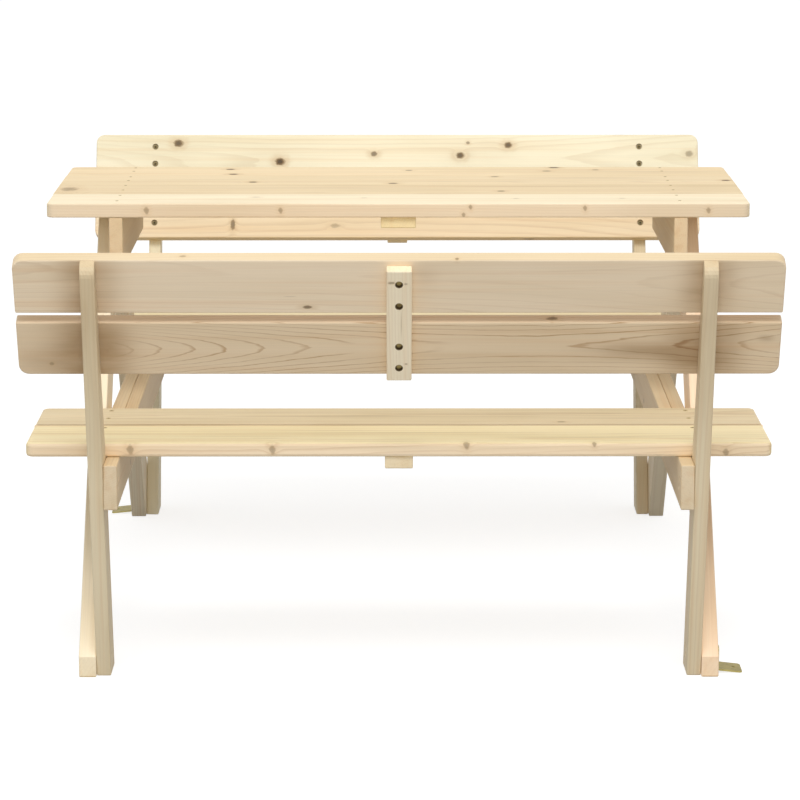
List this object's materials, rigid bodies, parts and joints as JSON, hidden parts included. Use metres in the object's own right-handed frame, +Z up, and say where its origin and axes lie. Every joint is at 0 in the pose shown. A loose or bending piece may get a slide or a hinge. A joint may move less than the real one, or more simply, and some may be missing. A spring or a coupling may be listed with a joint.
{
  "type": "picnic table with attached backrest benches",
  "caption": "Wooden picnic table with two attached benches that have reclined slatted backrests, on A-shaped end frames with ground anchors.",
  "frame": {"origin": "on the ground, under the middle of the tabletop", "axes": "+X along the table's length to the right, +Y from the front bench to the back bench, +Z up"},
  "size_m": [1.26, 1.743, 0.763],
  "materials": {
    "fir_planks": "bare sanded softwood",
    "fir_frame": "bare planed softwood",
    "zinc_anchor": "yellow zinc plated",
    "zinc_screw": "yellow zinc plated"
  },
  "bodies": {
    "root": {"tabletop_plank_1": "fir_planks", "tabletop_plank_2": "fir_planks", "tabletop_plank_3": "fir_planks", "tabletop_plank_4": "fir_planks", "tabletop_batten": "fir_frame", "seat_plank_front_outer": "fir_planks", "seat_plank_front_inner": "fir_planks", "seat_plank_back_outer": "fir_planks", "seat_plank_back_inner": "fir_planks", "seat_batten_front": "fir_frame", "seat_batten_back": "fir_frame", "backrest_board_front_lower": "fir_planks", "backrest_board_front_upper": "fir_planks", "backrest_board_back_lower": "fir_planks", "backrest_board_back_upper": "fir_planks", "backrest_batten_front": "fir_frame", "backrest_batten_back": "fir_frame", "crossbeam_left": "fir_frame", "crossbeam_right": "fir_frame", "tie_beam_left": "fir_frame", "tie_beam_right": "fir_frame", "seat_beam_left": "fir_frame", "seat_beam_right": "fir_frame", "leg_front_left": "fir_frame", "leg_front_right": "fir_frame", "leg_back_left": "fir_frame", "leg_back_right": "fir_frame", "post_front_left": "fir_frame", "post_front_right": "fir_frame", "post_back_left": "fir_frame", "post_back_right": "fir_frame", "ground_anchor_front_right": "zinc_anchor", "ground_anchor_back_left": "zinc_anchor", "batten_screw_front_1": "zinc_screw", "batten_screw_front_2": "zinc_screw", "batten_screw_front_3": "zinc_screw", "batten_screw_front_4": "zinc_screw", "batten_screw_back_1": "zinc_screw", "batten_screw_back_2": "zinc_screw", "batten_screw_back_3": "zinc_screw", "batten_screw_back_4": "zinc_screw", "beam_screw_front_left_1": "zinc_screw", "beam_screw_front_left_2": "zinc_screw", "beam_screw_front_right_1": "zinc_screw", "beam_screw_front_right_2": "zinc_screw", "beam_screw_back_left_1": "zinc_screw", "beam_screw_back_left_2": "zinc_screw", "beam_screw_back_right_1": "zinc_screw", "beam_screw_back_right_2": "zinc_screw", "foot_screw_front_left_1": "zinc_screw", "foot_screw_front_left_2": "zinc_screw", "foot_screw_front_right_1": "zinc_screw", "foot_screw_front_right_2": "zinc_screw", "foot_screw_back_left_1": "zinc_screw", "foot_screw_back_left_2": "zinc_screw", "foot_screw_back_right_1": "zinc_screw", "foot_screw_back_right_2": "zinc_screw"}
  },
  "joints": []
}
